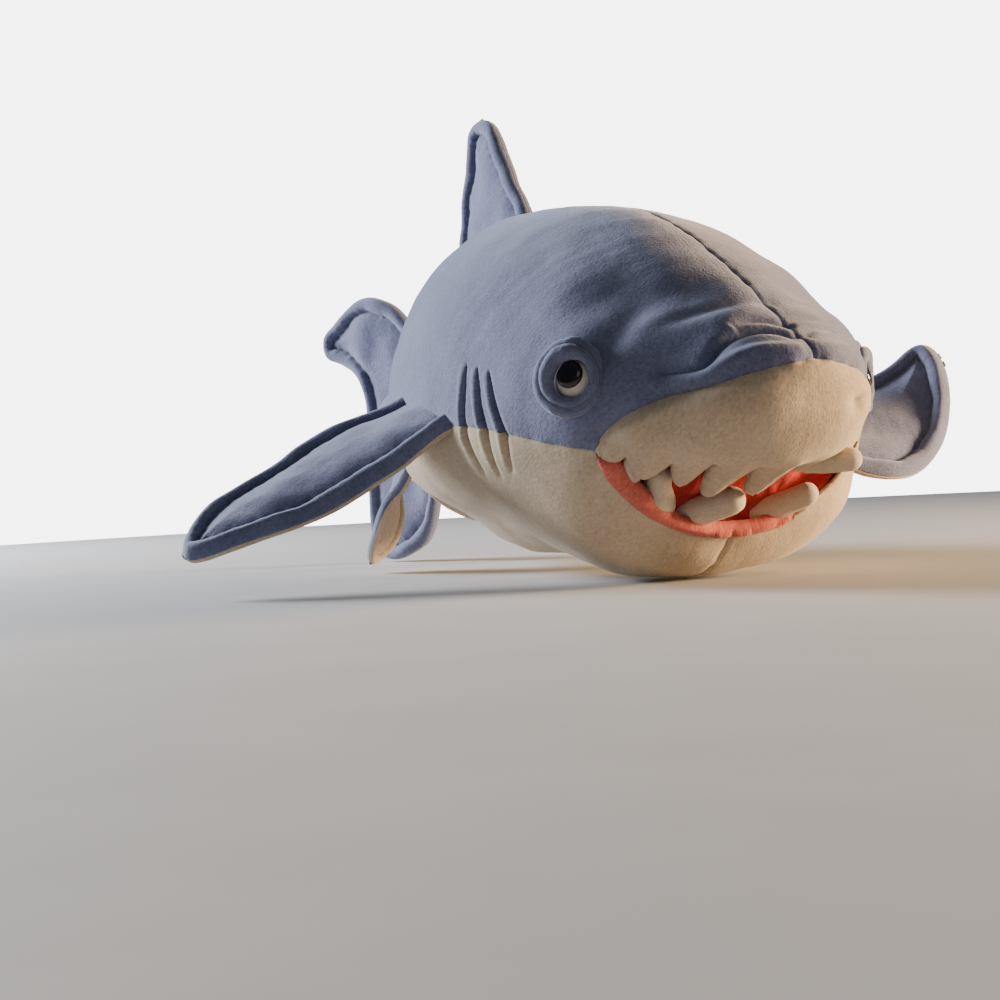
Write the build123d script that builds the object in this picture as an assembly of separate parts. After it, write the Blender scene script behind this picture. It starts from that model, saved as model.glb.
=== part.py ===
from build123d import *

import math
import os

# Soft stuffed shark, lying on its belly, at its real size in millimetres.
# The head points along -Y, the tail along +Y, +X is the shark's left side and +Z is up.
# The origin is the middle of the flattened patch of belly that it rests on.

# ---- Driving dimensions -------------------------------------------------------------------

SKIN = 4.0  # pile fabric and its backing
BIG = 900.0  # larger than the shark, for cutting

# Body sections from nose to tail: distance back, half width, top height, bottom height.
BODY_SECTIONS = [
    (-320, 18, 158, 137),
    (-308, 46, 165, 114),
    (-285, 76, 182, 94),
    (-250, 101, 208, 76),
    (-215, 119, 233, 48),
    (-185, 130, 252, 20),
    (-150, 139, 272, 3),
    (-100, 149, 293, -6),
    (-40, 157, 310, -8),
    (40, 156, 320, -7),
    (120, 142, 310, 8),
    (210, 111, 270, 40),
    (300, 80, 236, 62),
    (370, 56, 210, 82),
    (430, 34, 190, 103),
    (478, 16, 172, 124),
]

# Side line between the blue back and the cream belly, as (distance back, height).
SIDE_LINE = [(-207, 98), (-120, 115), (-40, 127), (90, 138), (220, 134), (360, 134), (478, 146)]

# Mouth, seen from the front: half width, corner height, and the mid heights of its edges.
MOUTH_HALF_WIDTH = 111
MOUTH_CORNER_Z = 97
UPPER_LIP_Z = 84
LOWER_LIP_Z = 42
LIP_BAND = 10
MOUTH_DEPTH = 20
MOUTH_CORNER_ROOM = 14  # the lining stops this far short of each corner
MOUTH_REAR_Y = -150  # the mouth shapes only cut the front of the head
NOSE_SEAM_Z = 153

# Teeth: distance to the left of the middle, length, root radius, tip radius and way it points.
HANGING = (0, -0.15, -1)
STANDING = (-0.1, -0.7, 0.75)
LEANING = (0.61, -0.73, 0.3)
UPPER_TEETH = [
    (-81, 12, 9, 6, HANGING),
    (-57, 15, 9, 6, HANGING),
    (-34, 20, 11, 7, HANGING),
    (-2, 20, 11, 7, HANGING),
    (36, 36, 9, 8.5, (0.65, -0.74, -0.02)),
    (66, 16, 10, 6, HANGING),
    (88, 12, 9, 6, HANGING),
]
LOWER_TEETH = [
    (-86, 14, 8, 6, STANDING),
    (-52, 26, 11, 10, STANDING),
    (-36, 40, 11, 9, LEANING),
    (10, 40, 11, 9, LEANING),
    (70, 20, 10, 8, STANDING),
]

# Eyes, on both sides of the head.
EYE_Y = -205
EYE_Z = 152
EYE_AIM = (0.76, -0.63, 0.13)  # on the left side; mirrored on the right
EYE_RING_RADIUS = 24
EYE_RING_TUBE = 8.5
EYE_LID_RADIUS = 18.5
EYE_LID_TUBE = 5
EYE_BALL_RADIUS = 17
EYE_BALL_SUNK = 6
EYE_BALL_BACK = 10
IRIS_RADIUS = 10.5
IRIS_DOME = 16
IRIS_PROUD = 3
STEM_RADIUS = 2.5
STEM_BACK = 19
WASHER_RADIUS = 11
WASHER_THICKNESS = 3

# Joints of the tail. Both turn about upright axes, and the tail rests bent to the shark's right.
TAIL_JOINT_Y = 300
TAIL_SOCKET = 79
TAIL_JOINT_BEND = 8
TAIL_GAP_Y = 268  # the front body ends here outside its socket
FIN_JOINT_Y = 405
FIN_SOCKET = 43
FIN_JOINT_BEND = 12
FIN_GAP_Y = 386
SOCKET_PLAY = 0.6
TAIL_PLATE = 11  # half thickness of the tail fin
TAIL_PADDING = 6.5

# Outline of the tail fin in the middle plane, as (distance back, height).
UPPER_LOBE_FRONT = [(366, 214), (402, 246), (430, 276), (456, 289), (486, 294), (514, 286)]
UPPER_LOBE_TIP = [(540, 268), (560, 252), (562, 236), (546, 225)]
TAIL_NOTCH = [(512, 208), (490, 184), (481, 150), (486, 108)]
LOWER_LOBE_REAR = [(492, 60), (489, 24)]
LOWER_LOBE_TIP = [(480, 5), (462, 3)]
LOWER_LOBE_FRONT = [(424, 9), (390, 30), (366, 64)]

# Fins: each station is (front edge, rear edge, thickness), from the sewn root to the tip.
DORSAL_FIN = [
    ((0, 129, 310), (0, 285, 245), 5),
    ((0, 124, 317), (0, 292, 247), 13),
    ((0, 148, 352), (0, 288, 312), 20),
    ((0, 178, 390), (0, 272, 372), 21),
    ((0, 203, 424), (0, 250, 410), 18),
    ((0, 216, 440), (0, 242, 434), 10),
]
PECTORAL_FIN_RIGHT = [
    ((-159, -34, 126), (-157, 70, 147), 5),
    ((-164, -39, 124), (-163, 75, 149), 13),
    ((-196, -20, 98), (-215, 92, 130), 21),
    ((-246, 2, 70), (-262, 102, 103), 22),
    ((-302, 22, 47), (-318, 100, 72), 20),
    ((-342, 44, 37), (-345, 76, 50), 11),
]
PECTORAL_FIN_LEFT = [
    ((159, -34, 126), (157, 70, 147), 5),
    ((164, -39, 124), (163, 75, 149), 13),
    ((204, -49, 92), (216, 72, 145), 21),
    ((258, -58, 70), (280, 54, 152), 22),
    ((312, -44, 84), (328, 38, 172), 20),
    ((350, -22, 132), (354, 20, 186), 11),
]
PELVIC_FIN = [
    ((109, 190, 92), (88, 256, 96), 4),
    ((113, 184, 89), (91, 262, 95), 10),
    ((130, 200, 62), (92, 258, 64), 15),
    ((134, 226, 34), (100, 264, 33), 15),
    ((133, 246, 15), (114, 268, 14), 9),
]
FIN_SKIN = 3.0


# ---- Shapes used in more than one piece ---------------------------------------------------

def body_form(inset):
    """The whole stuffed body from nose to tail, drawn in by the inset and flat underneath."""
    sections = []
    last = len(BODY_SECTIONS) - 1
    for index, (back, half_width, top, bottom) in enumerate(BODY_SECTIONS):
        if index == 0:
            back = back + inset
        if index == last:
            back = back - inset
        plane = Plane(origin=(0, back, (top + bottom) / 2), x_dir=(1, 0, 0), z_dir=(0, 1, 0))
        sections.append(plane * Ellipse(half_width - inset, (top - bottom) / 2 - inset))
    return loft(sections) & Pos(0, 0, inset) * half_space(2)


def half_space(axis, positive=True):
    """A very large box on one side of the origin: axis 0 is X, 1 is Y and 2 is Z."""
    align = [Align.CENTER] * 3
    align[axis] = Align.MIN if positive else Align.MAX
    return Box(2 * BIG, 2 * BIG, 2 * BIG, align=tuple(align))


def side_view(points, closing):
    """A prism across the body from an outline drawn in the side view."""
    edge = Spline(*points)
    face = make_face(Plane.YZ * (edge + Polyline(points[-1], *closing, points[0])))
    return extrude(face, BIG / 2, both=True)


def front_view(upper_mid, lower_mid):
    """A prism through the front of the head between two arcs that meet at the mouth corners."""
    left = (MOUTH_HALF_WIDTH, MOUTH_CORNER_Z)
    right = (-MOUTH_HALF_WIDTH, MOUTH_CORNER_Z)
    upper = ThreePointArc(right, (0, upper_mid), left)
    lower = ThreePointArc(left, (0, lower_mid), right)
    face = make_face(Plane.XZ * (upper + lower))
    return extrude(face, BIG, both=True) - Pos(0, MOUTH_REAR_Y, 0) * half_space(1)


def round_post(back, radius):
    """An upright cylinder round a tail joint."""
    return Pos(0, back, 0) * Cylinder(radius, 2 * BIG)


def in_front_of(back):
    return Pos(0, back, 0) * half_space(1, positive=False)


def behind(back):
    return Pos(0, back, 0) * half_space(1)


def front_part(form):
    """The head and trunk, as far back as the socket of the tail joint."""
    return form & in_front_of(TAIL_GAP_Y) - round_post(TAIL_JOINT_Y, TAIL_SOCKET)


def stem_part(form):
    """The narrow rear body between the two tail joints, still straight."""
    front = behind(TAIL_JOINT_Y) + round_post(TAIL_JOINT_Y, TAIL_SOCKET - SOCKET_PLAY)
    rear = in_front_of(FIN_GAP_Y) - round_post(FIN_JOINT_Y, FIN_SOCKET)
    return form & front & rear


def end_part(form):
    """The end of the body that is sewn into the tail fin, still straight."""
    return form & (behind(FIN_JOINT_Y) + round_post(FIN_JOINT_Y, FIN_SOCKET - SOCKET_PLAY))


def tail_outline(inset):
    """The two lobes of the tail fin in the middle plane, with every point drawn in."""
    outline = UPPER_LOBE_FRONT + UPPER_LOBE_TIP + TAIL_NOTCH + LOWER_LOBE_REAR
    outline = outline + LOWER_LOBE_TIP + LOWER_LOBE_FRONT
    drawn = []
    for index, (back, height) in enumerate(outline):
        before = outline[index - 1]
        after = outline[(index + 1) % len(outline)]
        run = (after[0] - before[0], after[1] - before[1])
        share = inset / math.hypot(*run)
        drawn.append((back + run[1] * share, height - run[0] * share))
    edge = Spline(*drawn)
    return make_face(Plane.YZ * (edge + Line(drawn[-1], drawn[0])))


def bend_stem(shape):
    return shape.rotate(Axis((0, TAIL_JOINT_Y, 0), (0, 0, 1)), TAIL_JOINT_BEND)


def bend_fin(shape):
    turned = shape.rotate(Axis((0, FIN_JOINT_Y, 0), (0, 0, 1)), FIN_JOINT_BEND)
    return bend_stem(turned)


def fin_sections(stations, skin):
    """Planes and half sizes of a fin's sections, drawn in by the skin."""
    middles = [(Vector(*front) + Vector(*rear)) * 0.5 for front, rear, _ in stations]
    found = []
    for index, (front, rear, thickness) in enumerate(stations):
        chord = Vector(*rear) - Vector(*front)
        before = middles[max(index - 1, 0)]
        after = middles[min(index + 1, len(middles) - 1)]
        along = chord.normalized()
        out = after - before
        out = (out - along * out.dot(along)).normalized()
        plane = Plane(origin=middles[index], x_dir=along, z_dir=out)
        half_chord = chord.length / 2 - 1.5 * skin
        half_thick = max(thickness / 2 - skin, 0.35 * thickness)
        if skin == 0:
            half_thick = thickness / 2
        found.append((plane, half_chord, half_thick))
    return found


def fin_half(stations, side, skin=0.0):
    """One face of a fin, from its middle surface out: side is 1 or -1."""
    align = (Align.CENTER, Align.MIN if side > 0 else Align.MAX)
    halves = []
    for plane, a, b in fin_sections(stations, skin):
        halves.append(plane * (Ellipse(a, b) & Rectangle(3 * a, 3 * b, align=align)))
    return loft(halves, ruled=True)


def mirrored(stations):
    """The same fin on the other side of the body."""
    def flip(point):
        return (-point[0], point[1], point[2])

    return [(flip(front), flip(rear), thickness) for front, rear, thickness in stations]


def on_head(form, left, height):
    """The furthest forward point of the head at this place in the front view."""
    hits = form.find_intersection_points(Axis((left, -BIG, height), (0, 1, 0)))
    return min((point for point, _ in hits), key=lambda point: point.Y)


def lip_height(left, middle):
    """Height of a lip arc at a distance from the middle."""
    rise = MOUTH_CORNER_Z - middle
    radius = (MOUTH_HALF_WIDTH ** 2 + rise ** 2) / (2 * rise)
    return middle + radius - math.sqrt(radius ** 2 - left ** 2)


def tooth(root, way, length, root_radius, tip_radius):
    """A stuffed finger of fabric with a round end."""
    shaft = Cone(root_radius, tip_radius, length, align=(Align.CENTER, Align.CENTER, Align.MIN))
    tip = Pos(0, 0, length) * Sphere(tip_radius)
    return Plane(origin=root, z_dir=way) * (shaft + tip)


# ---- Pieces -------------------------------------------------------------------------------

def mouth_shapes(outer):
    """The open pocket of the mouth, and its lining with walls round the pocket."""
    shell = outer - Pos(0, 0.7 * MOUTH_DEPTH, 0.7 * MOUTH_DEPTH) * outer
    deeper = MOUTH_DEPTH + SKIN
    thick_shell = outer - Pos(0, 0.7 * deeper, 0.7 * deeper) * outer
    pocket = shell & front_view(UPPER_LIP_Z, LOWER_LIP_Z)
    block = thick_shell & front_view(UPPER_LIP_Z + SKIN, LOWER_LIP_Z - SKIN)
    width = 2 * (MOUTH_HALF_WIDTH - MOUTH_CORNER_ROOM)
    return pocket, block & Box(width, 2 * BIG, 2 * BIG)


def teeth(outer, pocket):
    """Upper teeth hang from the muzzle's edge; lower ones stand on the lower lip."""
    solid_head = outer - pocket
    upper = []
    for left, length, root_radius, tip_radius, way in UPPER_TEETH:
        root = on_head(outer, left, lip_height(left, UPPER_LIP_Z) + 4)
        upper.append(tooth(root, way, length, root_radius, tip_radius))
    lower = []
    for left, length, root_radius, tip_radius, way in LOWER_TEETH:
        root = on_head(outer, left, lip_height(left, LOWER_LIP_Z) + 5)
        lower.append(tooth(root, way, length, root_radius, tip_radius))
    lower_row = Compound(children=[piece - solid_head for piece in lower])
    upper_row = Compound(children=[piece - solid_head - lower_row for piece in upper])
    return upper_row, lower_row


def eye(outer, side):
    """The pieces of one eye: fabric ring, lid and ball, and the plastic iris with its washer."""
    hits = outer.find_intersection_points(Axis((0, EYE_Y, EYE_Z), (side, 0, 0)))
    centre = max((point for point, _ in hits), key=lambda point: side * point.X)
    place = Plane(origin=centre, z_dir=(side * EYE_AIM[0], EYE_AIM[1], EYE_AIM[2]))
    low = (Align.CENTER, Align.CENTER, Align.MIN)
    high = (Align.CENTER, Align.CENTER, Align.MAX)
    ball_place = place * Pos(0, 0, -EYE_BALL_SUNK)
    ball = ball_place * Sphere(EYE_BALL_RADIUS)
    ball = ball & place * Pos(0, 0, -EYE_BALL_BACK) * Cylinder(BIG, BIG, align=low)
    dome_low = EYE_BALL_RADIUS - EYE_BALL_SUNK + IRIS_PROUD - IRIS_DOME
    dome = place * Pos(0, 0, dome_low) * Sphere(IRIS_DOME)
    dome = dome & place * Cylinder(IRIS_RADIUS, BIG, align=low)
    stem = place * Cylinder(STEM_RADIUS, STEM_BACK, align=high)
    stem = stem + place * Cylinder(STEM_RADIUS, EYE_BALL_RADIUS - EYE_BALL_SUNK + 1, align=low)
    washer = place * Pos(0, 0, -EYE_BALL_BACK) * Cylinder(WASHER_RADIUS, WASHER_THICKNESS, align=high)
    ring = place * Pos(0, 0, 2) * Torus(EYE_RING_RADIUS, EYE_RING_TUBE)
    lid = place * Pos(0, 0, 8) * Torus(EYE_LID_RADIUS, EYE_LID_TUBE)
    iris = (dome - ball) + stem
    ball = ball - iris
    ring = ring - outer - ball
    lid = lid - outer - ball - ring - iris
    return {
        "eye_ring": ring,
        "eye_lid": lid,
        "eye_ball": ball,
        "eye_iris": iris,
        "eye_lock_washer": washer - iris,
    }


def fin(name, stations, faces):
    """Two covers and the padding of one fin. Faces names the cover on each side."""
    padding = fin_half(stations, 1, FIN_SKIN) + fin_half(stations, -1, FIN_SKIN)
    pieces = {f"{name}_padding": padding}
    for face, side in faces.items():
        pieces[f"{name}_{face}"] = fin_half(stations, side) - padding
    return pieces


def tail_fin(outer, inner):
    """The crescent tail fin round the end of the body, split down its middle plane."""
    sheet = extrude(tail_outline(0), TAIL_PLATE, both=True) + end_part(outer)
    padding = extrude(tail_outline(2 * FIN_SKIN), TAIL_PADDING, both=True) + end_part(inner)
    shell = sheet - padding
    return {
        "tail_fin_left_cover": bend_fin(shell & half_space(0)),
        "tail_fin_right_cover": bend_fin(shell & half_space(0, positive=False)),
        "tail_fin_padding": bend_fin(padding),
    }


def all_pieces():
    outer = body_form(0)
    inner = body_form(SKIN)
    trunk, trunk_fill = front_part(outer), front_part(inner)
    stem, stem_fill = stem_part(outer), stem_part(inner)
    left, right = half_space(0), half_space(0, positive=False)
    below = side_view(SIDE_LINE, [(BIG, SIDE_LINE[-1][1]), (BIG, -BIG), (-BIG, -BIG), (-BIG, SIDE_LINE[0][1])])

    pocket, lining_block = mouth_shapes(outer)
    upper_teeth, lower_teeth = teeth(outer, pocket)
    eyes = {side: eye(outer, side) for side in (1, -1)}
    sockets = [piece for parts in eyes.values() for piece in parts.values()]

    skin = trunk - trunk_fill
    muzzle_zone = front_view(NOSE_SEAM_Z, UPPER_LIP_Z)
    lip_zone = front_view(LOWER_LIP_Z, LOWER_LIP_Z - LIP_BAND)
    mouth_zone = front_view(UPPER_LIP_Z, LOWER_LIP_Z)
    cover = skin - muzzle_zone - lip_zone - mouth_zone
    for piece in sockets:
        cover = cover - piece
    fill = trunk_fill - lining_block
    for piece in sockets:
        fill = fill - piece
    belly = cover & below
    back = cover - below

    stem_skin = stem - stem_fill
    pieces = {
        "back_cover_left": back & left,
        "back_cover_right": back & right,
        "belly_cover_left": belly & left,
        "belly_cover_right": belly & right,
        "muzzle_cover": skin & muzzle_zone,
        "lower_lip_band": skin & lip_zone,
        "mouth_lining": (lining_block & trunk_fill) - pocket,
        "body_stuffing": fill,
        "upper_teeth": upper_teeth,
        "lower_teeth": lower_teeth,
        "tail_back_cover_left": bend_stem((stem_skin - below) & left),
        "tail_back_cover_right": bend_stem((stem_skin - below) & right),
        "tail_belly_cover_left": bend_stem((stem_skin & below) & left),
        "tail_belly_cover_right": bend_stem((stem_skin & below) & right),
        "tail_stuffing": bend_stem(stem_fill),
    }
    for side, name in ((1, "left"), (-1, "right")):
        for piece, shape in eyes[side].items():
            pieces[f"{piece}_{name}"] = shape
    pieces.update(tail_fin(outer, inner))
    pieces.update(fin("dorsal_fin", DORSAL_FIN, {"left_cover": 1, "right_cover": -1}))
    pieces.update(fin("pectoral_fin_left", PECTORAL_FIN_LEFT, {"top_cover": 1, "under_cover": -1}))
    pieces.update(fin("pectoral_fin_right", PECTORAL_FIN_RIGHT, {"top_cover": -1, "under_cover": 1}))
    pieces.update(fin("pelvic_fin_left", PELVIC_FIN, {"outer_cover": 1, "inner_cover": -1}))
    pieces.update(fin("pelvic_fin_right", mirrored(PELVIC_FIN), {"outer_cover": -1, "inner_cover": 1}))
    return pieces


os.makedirs("parts", exist_ok=True)
for node, shape in all_pieces().items():
    export_step(shape, f"parts/{node}.step")
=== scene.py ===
import itertools
import math

import bpy
import numpy as np
from mathutils import Matrix, Vector


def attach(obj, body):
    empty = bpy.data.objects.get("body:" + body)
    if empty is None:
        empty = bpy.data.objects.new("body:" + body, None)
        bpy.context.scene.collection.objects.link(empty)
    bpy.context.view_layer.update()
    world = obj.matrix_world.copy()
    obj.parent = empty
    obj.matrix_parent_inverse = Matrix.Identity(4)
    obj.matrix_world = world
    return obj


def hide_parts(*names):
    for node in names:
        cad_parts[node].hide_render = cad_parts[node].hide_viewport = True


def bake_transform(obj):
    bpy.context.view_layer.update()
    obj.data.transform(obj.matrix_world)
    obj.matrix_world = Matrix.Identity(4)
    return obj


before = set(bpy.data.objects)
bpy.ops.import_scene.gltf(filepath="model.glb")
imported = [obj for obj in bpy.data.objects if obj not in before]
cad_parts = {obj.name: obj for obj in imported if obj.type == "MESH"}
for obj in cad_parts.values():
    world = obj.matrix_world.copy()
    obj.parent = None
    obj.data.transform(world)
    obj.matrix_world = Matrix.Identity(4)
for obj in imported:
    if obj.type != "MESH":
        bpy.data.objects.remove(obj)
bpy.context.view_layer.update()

# The shark lies on its belly: head towards -Y, tail towards +Y, its left side at +X, up is +Z.
# Shapes are worked out in millimetres and turned into metres when a mesh is made.
MM = 0.001
SKIN = 2.6  # thickness of the fabric

# ---- Body: the same sections as the frame's covers ----------------------------------------

# distance back, half width, top height, bottom height
BODY_SECTIONS = np.array([
    (-323, 0, 148, 148), (-319, 24, 160, 135), (-308, 49, 168, 114), (-285, 75, 184, 94),
    (-250, 99, 209, 76), (-215, 118, 233, 48), (-185, 130, 252, 20), (-150, 139, 272, 3),
    (-100, 149, 293, -6), (-40, 157, 310, -8), (40, 156, 320, -7), (120, 142, 310, 8),
    (210, 111, 270, 40), (300, 80, 236, 62), (370, 56, 210, 82), (430, 33, 188, 104),
    (478, 9, 160, 136)], float)
NOSE_Y = BODY_SECTIONS[0, 0]
TAIL_END_Y = BODY_SECTIONS[-1, 0]
FLOOR_SOFTNESS = 6  # how sharply the belly turns where it meets the floor

# seam between back and belly: distance back, height
SIDE_LINE = np.array([(-400, 102), (-207, 102), (-120, 120), (-40, 130), (90, 138), (220, 134), (360, 134),
                      (478, 146)])
MOUTH_HALF_WIDTH = 111
MOUTH_CORNER_Z = 101
NOSE_SEAM_Z = 155
UPPER_LIP_Z = 86
LIP_OUTER_Z = 35.5
LIP_ROOM = 4.6  # height of the lip's roll at the middle
LIP_ROLL, LIP_TUCK = 3.0, 4.5  # how far it stands out, and how far its inner edge turns in
MOUTH_REAR_Y = -150
CORNER_ROOM = 0.8  # the mouth's panels stop this far short of its corners
# upper teeth that are scallops of the muzzle's edge: place of the tip, half widths, drop
SCALLOPS = [(-103, 7, 8, 7), (-82, 14, 14, 14), (-57, 12, 12, 16), (-35, 8, 21, 23), (-1, 9, 19, 22),
            (27, 9, 10, 7), (60, 13, 12, 12), (84, 12, 12, 8)]

# joints of the tail: place of the upright axis, and how far each is turned at rest
TAIL_PIVOT, TAIL_BEND = (0, 300), 8
FIN_PIVOT, FIN_BEND = (0, 405), 12
BEND_REACH = 38  # half the length over which the body bends at a tail joint
TAIL_SEAM_Y = 352


class Spline:
    """A natural cubic spline through points, for one or several values at once."""

    def __init__(self, x, y):
        self.x, self.y = np.asarray(x, float), np.asarray(y, float)
        n, h = len(self.x), np.diff(self.x)
        a = np.zeros((n, n))
        a[0, 0] = a[-1, -1] = 1
        r = np.zeros_like(self.y)
        slope = (np.diff(self.y, axis=0).T / h).T
        for i in range(1, n - 1):
            a[i, i - 1:i + 2] = h[i - 1], 2 * (h[i - 1] + h[i]), h[i]
            r[i] = 6 * (slope[i] - slope[i - 1])
        self.m, self.h, self.slope = np.linalg.solve(a, r), h, slope

    def __call__(self, t):
        t = np.asarray(t, float)
        i = np.clip(np.searchsorted(self.x, t) - 1, 0, len(self.h) - 1)
        h, d = self.h[i], t - self.x[i]
        if self.y.ndim > 1:
            h, d = h[..., None], d[..., None]
        b = self.slope[i] - h * (2 * self.m[i] + self.m[i + 1]) / 6
        return self.y[i] + b * d + self.m[i] / 2 * d ** 2 + (self.m[i + 1] - self.m[i]) / (6 * h) * d ** 3


section_spline = Spline(np.sqrt(BODY_SECTIONS[:, 0] - NOSE_Y), BODY_SECTIONS[:, 1:])
side_line = Spline(SIDE_LINE[:, 0], SIDE_LINE[:, 1])


def section(back):
    """Half width, middle height and half height of the body at a distance back."""
    found = section_spline(np.sqrt(np.clip(back - NOSE_Y, 0, None)))
    return found[..., 0], (found[..., 1] + found[..., 2]) / 2, (found[..., 1] - found[..., 2]) / 2


def settle(height):
    """Flattens what would be below the floor."""
    s = FLOOR_SOFTNESS
    return np.where(height < s, s * np.exp(np.minimum(height - s, 0) / s), height)


def body_point(back, turn):
    """Points on the body from the distance back and the angle round it."""
    half_width, middle, half_height = section(back)
    x = half_width * np.cos(turn)
    z = middle + half_height * np.sin(turn)
    return np.stack([x, back + 0 * x, settle(z)], -1)


def front_of(x, z):
    """How far back the front of the head is, at a place in the front view."""
    x, z = np.broadcast_arrays(np.asarray(x, float), np.asarray(z, float))
    low, high = np.full(x.shape, NOSE_Y + 0.01), np.full(x.shape, -60.0)
    for _ in range(40):
        middle = (low + high) / 2
        half_width, centre, half_height = section(middle)
        outside = (x / half_width) ** 2 + ((z - centre) / half_height) ** 2 > 1
        low, high = np.where(outside, middle, low), np.where(outside, high, middle)
    return (low + high) / 2


def side_of(back, z):
    """Half width of the body at a place in the side view."""
    half_width, centre, half_height = section(back)
    return half_width * np.sqrt(np.clip(1 - ((z - centre) / half_height) ** 2, 0, 1))


def face_points(points):
    """Points on the front of the head from (x, z)."""
    x, z = np.transpose(points).astype(float)
    return np.stack([x, front_of(x, z), z], -1)


def flank_points(points, side):
    """Points on the side of the body from (distance back, z)."""
    back, z = np.transpose(points).astype(float)
    return np.stack([side * side_of(back, z), back, z], -1)


def run_along(line):
    """Distance along a line of points to each of them."""
    return np.concatenate([[0], np.cumsum(np.linalg.norm(np.diff(line, axis=0), axis=1))])


def resample(line, spacing=1.5):
    """The same line with evenly spaced points, rounded by a spline."""
    run = run_along(line)
    return Spline(run, line)(np.linspace(0, run[-1], max(int(run[-1] / spacing), 2) + 1))


def resample_straight(line, spacing=1.2):
    """The same line with evenly spaced points, with its corners kept."""
    run = run_along(line)
    at = np.linspace(0, run[-1], int(run[-1] / spacing) + 2)
    return np.stack([np.interp(at, run, line[:, k]) for k in range(3)], -1)


def nearest(points, line, reach=30):
    """Distance from each point to a line of points, and how far along the line it is, from 0 to 1."""
    distance, along = np.full(len(points), 1e3), np.zeros(len(points))
    index = np.flatnonzero(np.all((points > line.min(0) - reach) & (points < line.max(0) + reach), axis=1))
    last = len(line) - 1
    for part in np.array_split(index, max(len(index) // 4000, 1)):
        here = points[part]
        best = ((here[:, None] - line[None]) ** 2).sum(2).argmin(1)
        found, where = np.full(len(part), 1e9), np.zeros(len(part))
        for first in (np.maximum(best - 1, 0), np.minimum(best, last - 1)):
            run = line[first + 1] - line[first]
            share = ((here - line[first]) * run).sum(1) / np.maximum((run ** 2).sum(1), 1e-12)
            share = np.clip(share, 0, 1)
            gap = np.linalg.norm(here - line[first] - run * share[:, None], axis=1)
            nearer = gap < found
            found, where = np.where(nearer, gap, found), np.where(nearer, first + share, where)
        distance[part], along[part] = found, where / last
    return distance, along


def unit(vector):
    return np.asarray(vector, float) / np.linalg.norm(vector)


def smooth(low, high, value):
    """0 at low, 1 at high, with a soft start and end."""
    t = np.clip((value - low) / (high - low), 0, 1)
    return t * t * (3 - 2 * t)


def waves(points, size, seed, octaves=3):
    """Smooth random unevenness, about -1 to 1, whose bumps are about one size across."""
    rng = np.random.RandomState(seed)
    total = np.zeros(points.shape[:-1])
    for octave in range(octaves):
        for _ in range(7):
            way = unit(rng.normal(size=3)) * 2 * math.pi / (size * 0.55 ** octave * rng.uniform(0.8, 1.6))
            total += 0.55 ** octave * np.sin(points @ way + rng.uniform(0, 6.3))
    return total / 5


# ---- Outlines on the head, in the front view ----------------------------------------------

def lip_arc(x, middle):
    """Height of an arc through both mouth corners."""
    rise = MOUTH_CORNER_Z - middle
    radius = (MOUTH_HALF_WIDTH ** 2 + rise ** 2) / (2 * rise)
    return middle + radius - np.sqrt(np.clip(radius ** 2 - np.clip(x, -110.9, 110.9) ** 2, 0, None))


def lip_outer(x):
    """Outer edge of the lower lip's roll; the shark's left cheek stands up over the corner of its mouth."""
    return lip_arc(x, LIP_OUTER_Z) + 9 * smooth(35, 75, x) * smooth(111, 92, x)


def lip_inner(x):
    """Inner edge of the lower lip's roll, which dwindles on the shark's left."""
    room = LIP_ROOM + 4.5 * smooth(35, 90, np.abs(x))
    return lip_outer(x) + room * smooth(60, 28, x) * smooth(111, 98, np.abs(x))


def nose_seam(x):
    """Height of the seam between the blue back and the cream muzzle."""
    room = np.clip(1 - np.abs(x) / MOUTH_HALF_WIDTH, 0, 1)
    return MOUTH_CORNER_Z + (NOSE_SEAM_Z - MOUTH_CORNER_Z) * room ** 0.36


def muzzle_edge(x):
    """Height of the muzzle's lower edge, with its scallops."""
    edge = lip_arc(x, UPPER_LIP_Z)
    for tip, left_half, right_half, drop in SCALLOPS:
        half = np.where(x < tip, left_half, right_half)
        t = np.clip(np.abs(x - tip) / half, 0, 1)
        edge = edge - drop * (1 - t ** 1.8) ** 1.1
    return edge


def between(lower, upper):
    """A field that is above zero between two lines across the front of the head."""
    def field(place):
        x, back, z = place.T
        gate = np.minimum(MOUTH_REAR_Y - back, MOUTH_HALF_WIDTH - CORNER_ROOM - np.abs(x))
        return np.minimum.reduce([upper(x) - z, z - lower(x), gate])

    return field


muzzle_field = between(muzzle_edge, nose_seam)
lip_field = between(lip_outer, lip_inner)
mouth_field = between(lip_inner, muzzle_edge)


def side_field(place):
    return place[:, 2] - side_line(place[:, 1])


def middle_field(place):
    return place[:, 0]


def tail_seam_field(place):
    return place[:, 1] - TAIL_SEAM_Y


# ---- Mesh tools ---------------------------------------------------------------------------

def grid_faces(rows, columns, closed=False):
    """Triangles of a grid of points, row by row."""
    last = columns if closed else columns - 1
    i, j = np.meshgrid(np.arange(rows - 1), np.arange(last), indexing="ij")
    k = (j + 1) % columns
    a, b, c, d = i * columns + j, i * columns + k, (i + 1) * columns + k, (i + 1) * columns + j
    return np.concatenate([np.stack([a, b, c], -1).reshape(-1, 3), np.stack([a, c, d], -1).reshape(-1, 3)])


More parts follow.
